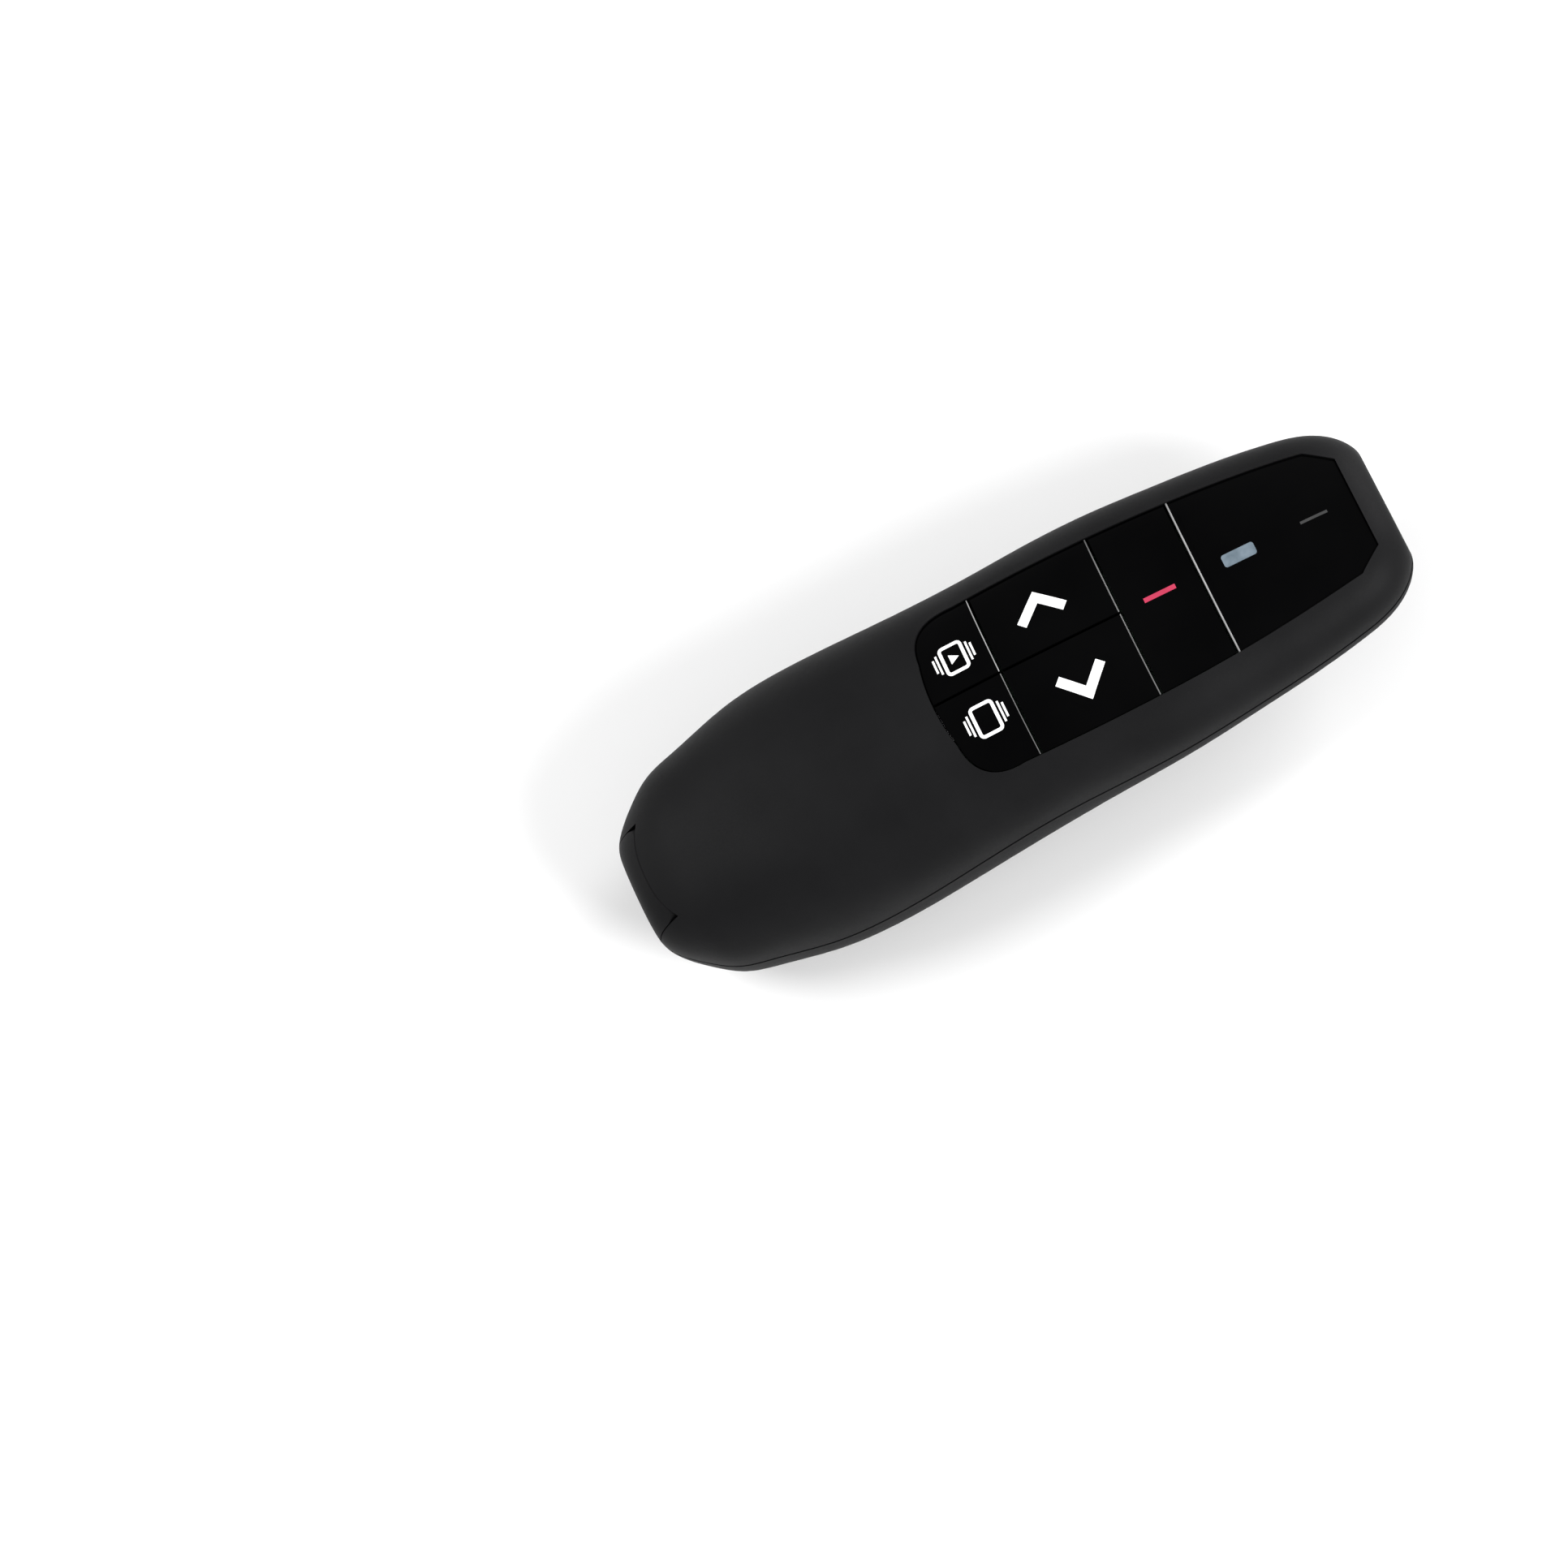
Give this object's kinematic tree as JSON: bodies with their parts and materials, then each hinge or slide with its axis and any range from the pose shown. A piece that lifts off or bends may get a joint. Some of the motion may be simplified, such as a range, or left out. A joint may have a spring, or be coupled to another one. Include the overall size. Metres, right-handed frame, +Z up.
{
  "type": "presentation clicker",
  "caption": "Handheld wireless presentation remote: moulded two-part housing, recessed glossy key panel, laser pointer in the nose, sliding battery door and a receiver stored in the tail.",
  "frame": {"origin": "centre of the footprint on the table, under the middle of the body's length", "axes": "+X along the body towards the nose, +Y towards the back-arrow side, +Z up through the key panel"},
  "size_m": [0.116, 0.0382, 0.0273],
  "materials": {
    "shell": "matte",
    "panel": "gloss",
    "light_pipe": "satin",
    "lens": "gloss",
    "brass": "satin",
    "board": "satin",
    "chip": "matte",
    "steel": "brushed",
    "switch": "matte",
    "cell": "satin",
    "leads": "satin",
    "grey_plastic": "matte"
  },
  "bodies": {
    "housing": {"top_cover": "shell", "bottom_case": "shell", "front_window": "panel", "nose_lens": "lens", "case_screws": "steel", "power_switch_base": "switch", "bridge_contact": "steel", "positive_contact": "steel", "negative_contact": "steel", "cell_left": "cell", "cell_right": "cell", "status_light_pipe": "light_pipe", "status_led": "light_pipe", "laser_barrel": "brass", "laser_lens": "lens", "laser_driver_board": "board", "laser_leads": "leads", "circuit_board": "board", "main_chip": "chip", "crystal": "steel", "board_passives": "chip", "board_screws": "steel", "laser_key_switch": "switch", "back_key_switch": "switch", "next_key_switch": "switch", "slideshow_key_switch": "switch", "blank_key_switch": "switch"},
    "laser_key_body": {"laser_key": "panel", "laser_key_plunger": "switch"},
    "back_key_body": {"back_key": "panel", "back_key_plunger": "switch"},
    "next_key_body": {"next_key": "panel", "next_key_plunger": "switch"},
    "slideshow_key_body": {"slideshow_key": "panel", "slideshow_key_plunger": "switch"},
    "blank_key_body": {"blank_key": "panel", "blank_key_plunger": "switch"},
    "power_slider_body": {"power_slider": "grey_plastic", "power_switch_lever": "switch"},
    "battery_door_body": {"battery_door": "shell"},
    "receiver_body": {"receiver_shell": "shell", "receiver_plug": "steel", "receiver_tongue": "switch"}
  },
  "joints": [
    {"name": "laser_key_press", "type": "slide", "parent": "housing", "child": "laser_key_body", "axis": [0, 0, -1], "range_m": [0, 0.0003], "stiffness_N_per_m": 2500},
    {"name": "back_key_press", "type": "slide", "parent": "housing", "child": "back_key_body", "axis": [0, 0, -1], "range_m": [0, 0.0003], "stiffness_N_per_m": 2500},
    {"name": "next_key_press", "type": "slide", "parent": "housing", "child": "next_key_body", "axis": [0, 0, -1], "range_m": [0, 0.0003], "stiffness_N_per_m": 2500},
    {"name": "slideshow_key_press", "type": "slide", "parent": "housing", "child": "slideshow_key_body", "axis": [0, 0, -1], "range_m": [0, 0.0003], "stiffness_N_per_m": 2500},
    {"name": "blank_key_press", "type": "slide", "parent": "housing", "child": "blank_key_body", "axis": [0, 0, -1], "range_m": [0, 0.0003], "stiffness_N_per_m": 2500},
    {"name": "power_slide", "type": "slide", "parent": "housing", "child": "power_slider_body", "axis": [1, 0, 0], "range_m": [0, 0.002]},
    {"name": "battery_door_slide", "type": "slide", "parent": "housing", "child": "battery_door_body", "axis": [-1, 0, 0], "range_m": [0, 0.06]},
    {"name": "receiver_slide", "type": "slide", "parent": "housing", "child": "receiver_body", "axis": [-1, 0, 0], "range_m": [0, 0.034]}
  ]
}
